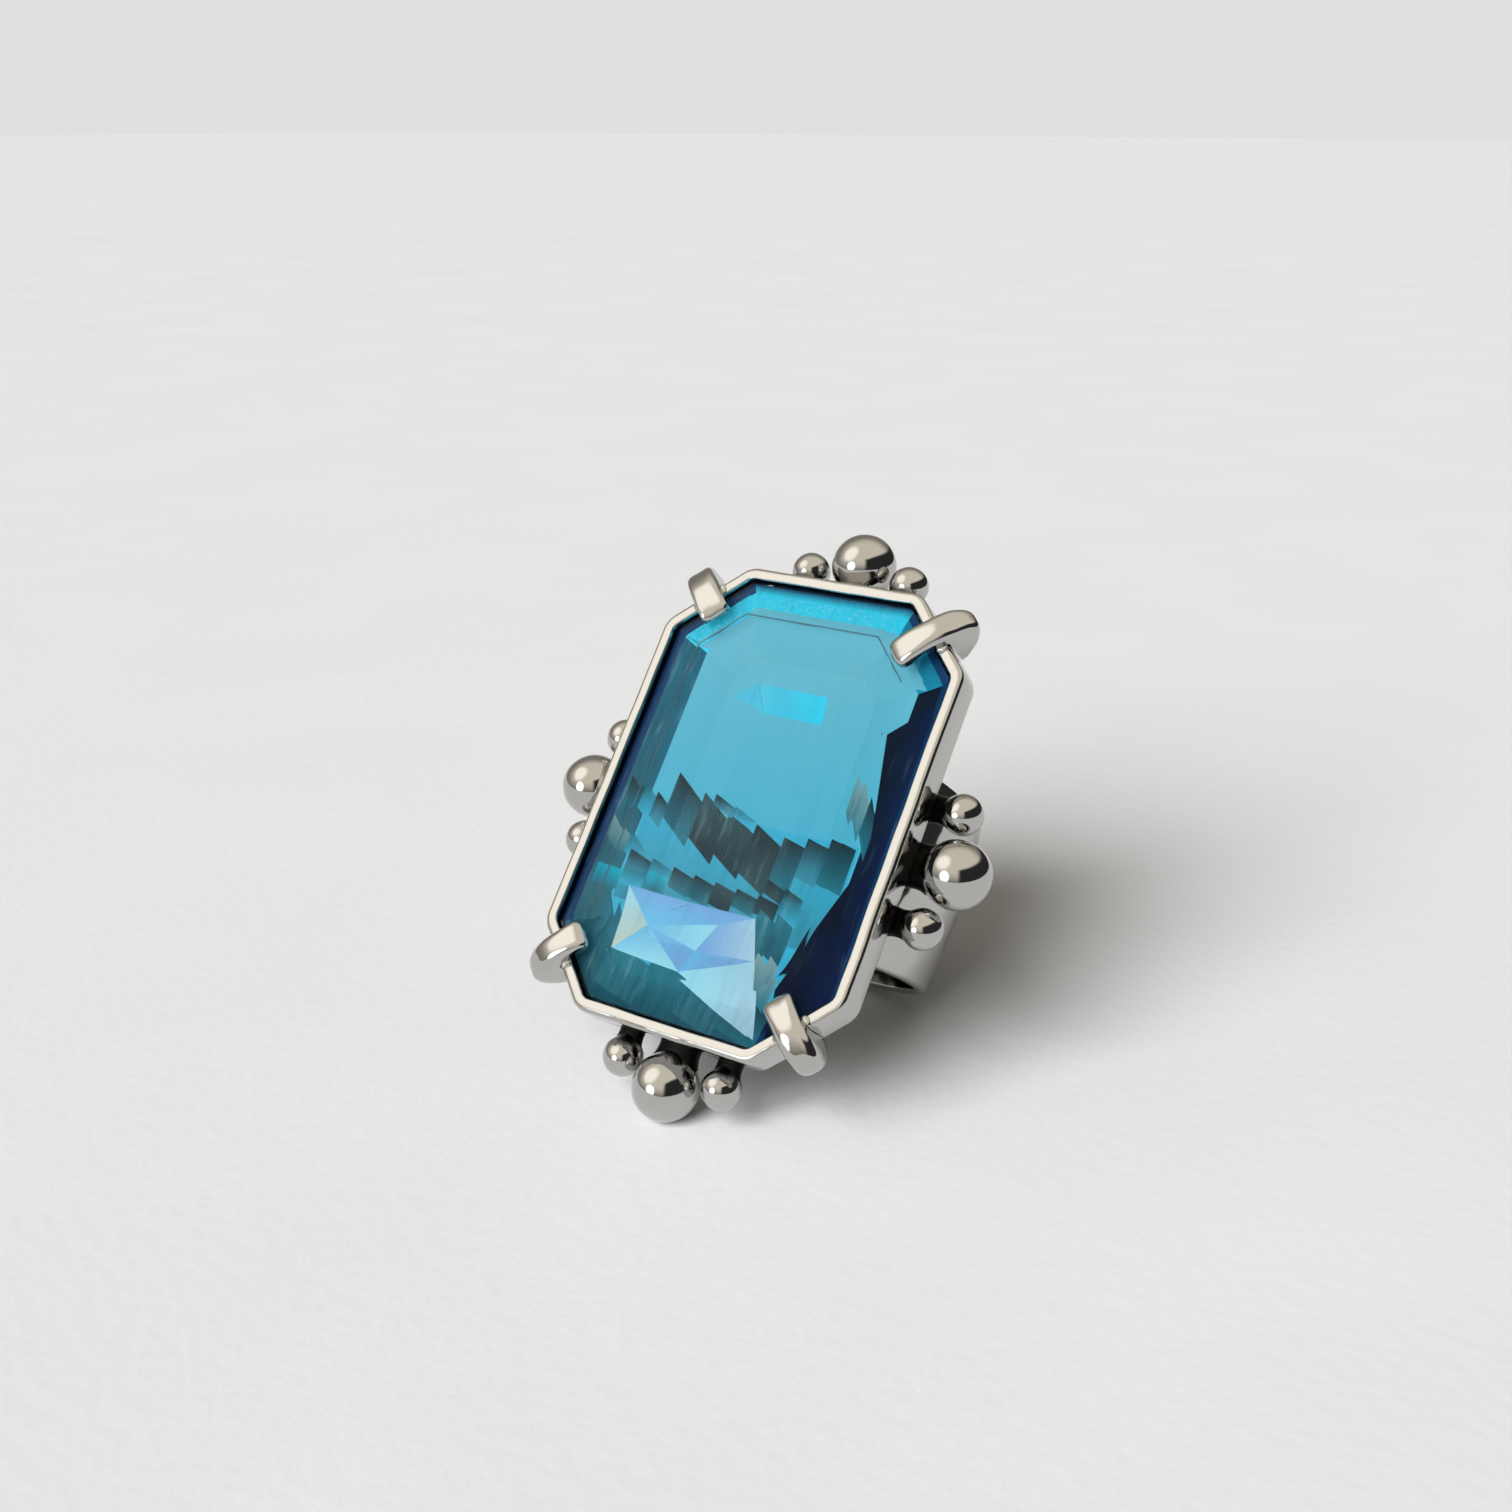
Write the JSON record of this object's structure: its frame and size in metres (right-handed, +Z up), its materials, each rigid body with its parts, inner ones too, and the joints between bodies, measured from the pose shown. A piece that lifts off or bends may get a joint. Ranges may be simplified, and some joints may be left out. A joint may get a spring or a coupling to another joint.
{
  "type": "cocktail ring",
  "caption": "Cocktail ring with a large cut-corner aqua glass stone in a rimmed, clawed silver setting, ball clusters on each side and a wide tapered band.",
  "frame": {"origin": "middle of the bottom of the ring's box, on the surface that it lies on", "axes": "Z up; X across the stone, level; the ring leans back in the YZ plane, resting on its lowest big ball and on the edge of its band, with the stone facing -Y and up"},
  "size_m": [0.0318, 0.0316, 0.0323],
  "materials": {
    "aqua_glass": "polished, tinted",
    "blue_foil": "bright blue foil",
    "polished_silver": "polished",
    "blackened_silver": "oxidised dark"
  },
  "bodies": {
    "root": {"stone": "aqua_glass", "foil_backing": "blue_foil", "bezel_wall": "polished_silver", "bearing_ledge": "polished_silver", "base_plate": "blackened_silver", "shank": "polished_silver", "claw_top_left": "polished_silver", "claw_top_right": "polished_silver", "claw_bottom_left": "polished_silver", "claw_bottom_right": "polished_silver", "ball_right_big": "polished_silver", "ball_right_small_a": "polished_silver", "ball_right_small_b": "polished_silver", "ball_top_big": "polished_silver", "ball_top_small_a": "polished_silver", "ball_top_small_b": "polished_silver", "ball_left_big": "polished_silver", "ball_left_small_a": "polished_silver", "ball_left_small_b": "polished_silver", "ball_bottom_big": "polished_silver", "ball_bottom_small_a": "polished_silver", "ball_bottom_small_b": "polished_silver", "post_right_big": "blackened_silver", "post_right_small_a": "blackened_silver", "post_right_small_b": "blackened_silver", "post_top_big": "blackened_silver", "post_top_small_a": "blackened_silver", "post_top_small_b": "blackened_silver", "post_left_big": "blackened_silver", "post_left_small_a": "blackened_silver", "post_left_small_b": "blackened_silver", "post_bottom_big": "blackened_silver", "post_bottom_small_a": "blackened_silver", "post_bottom_small_b": "blackened_silver"}
  },
  "joints": []
}
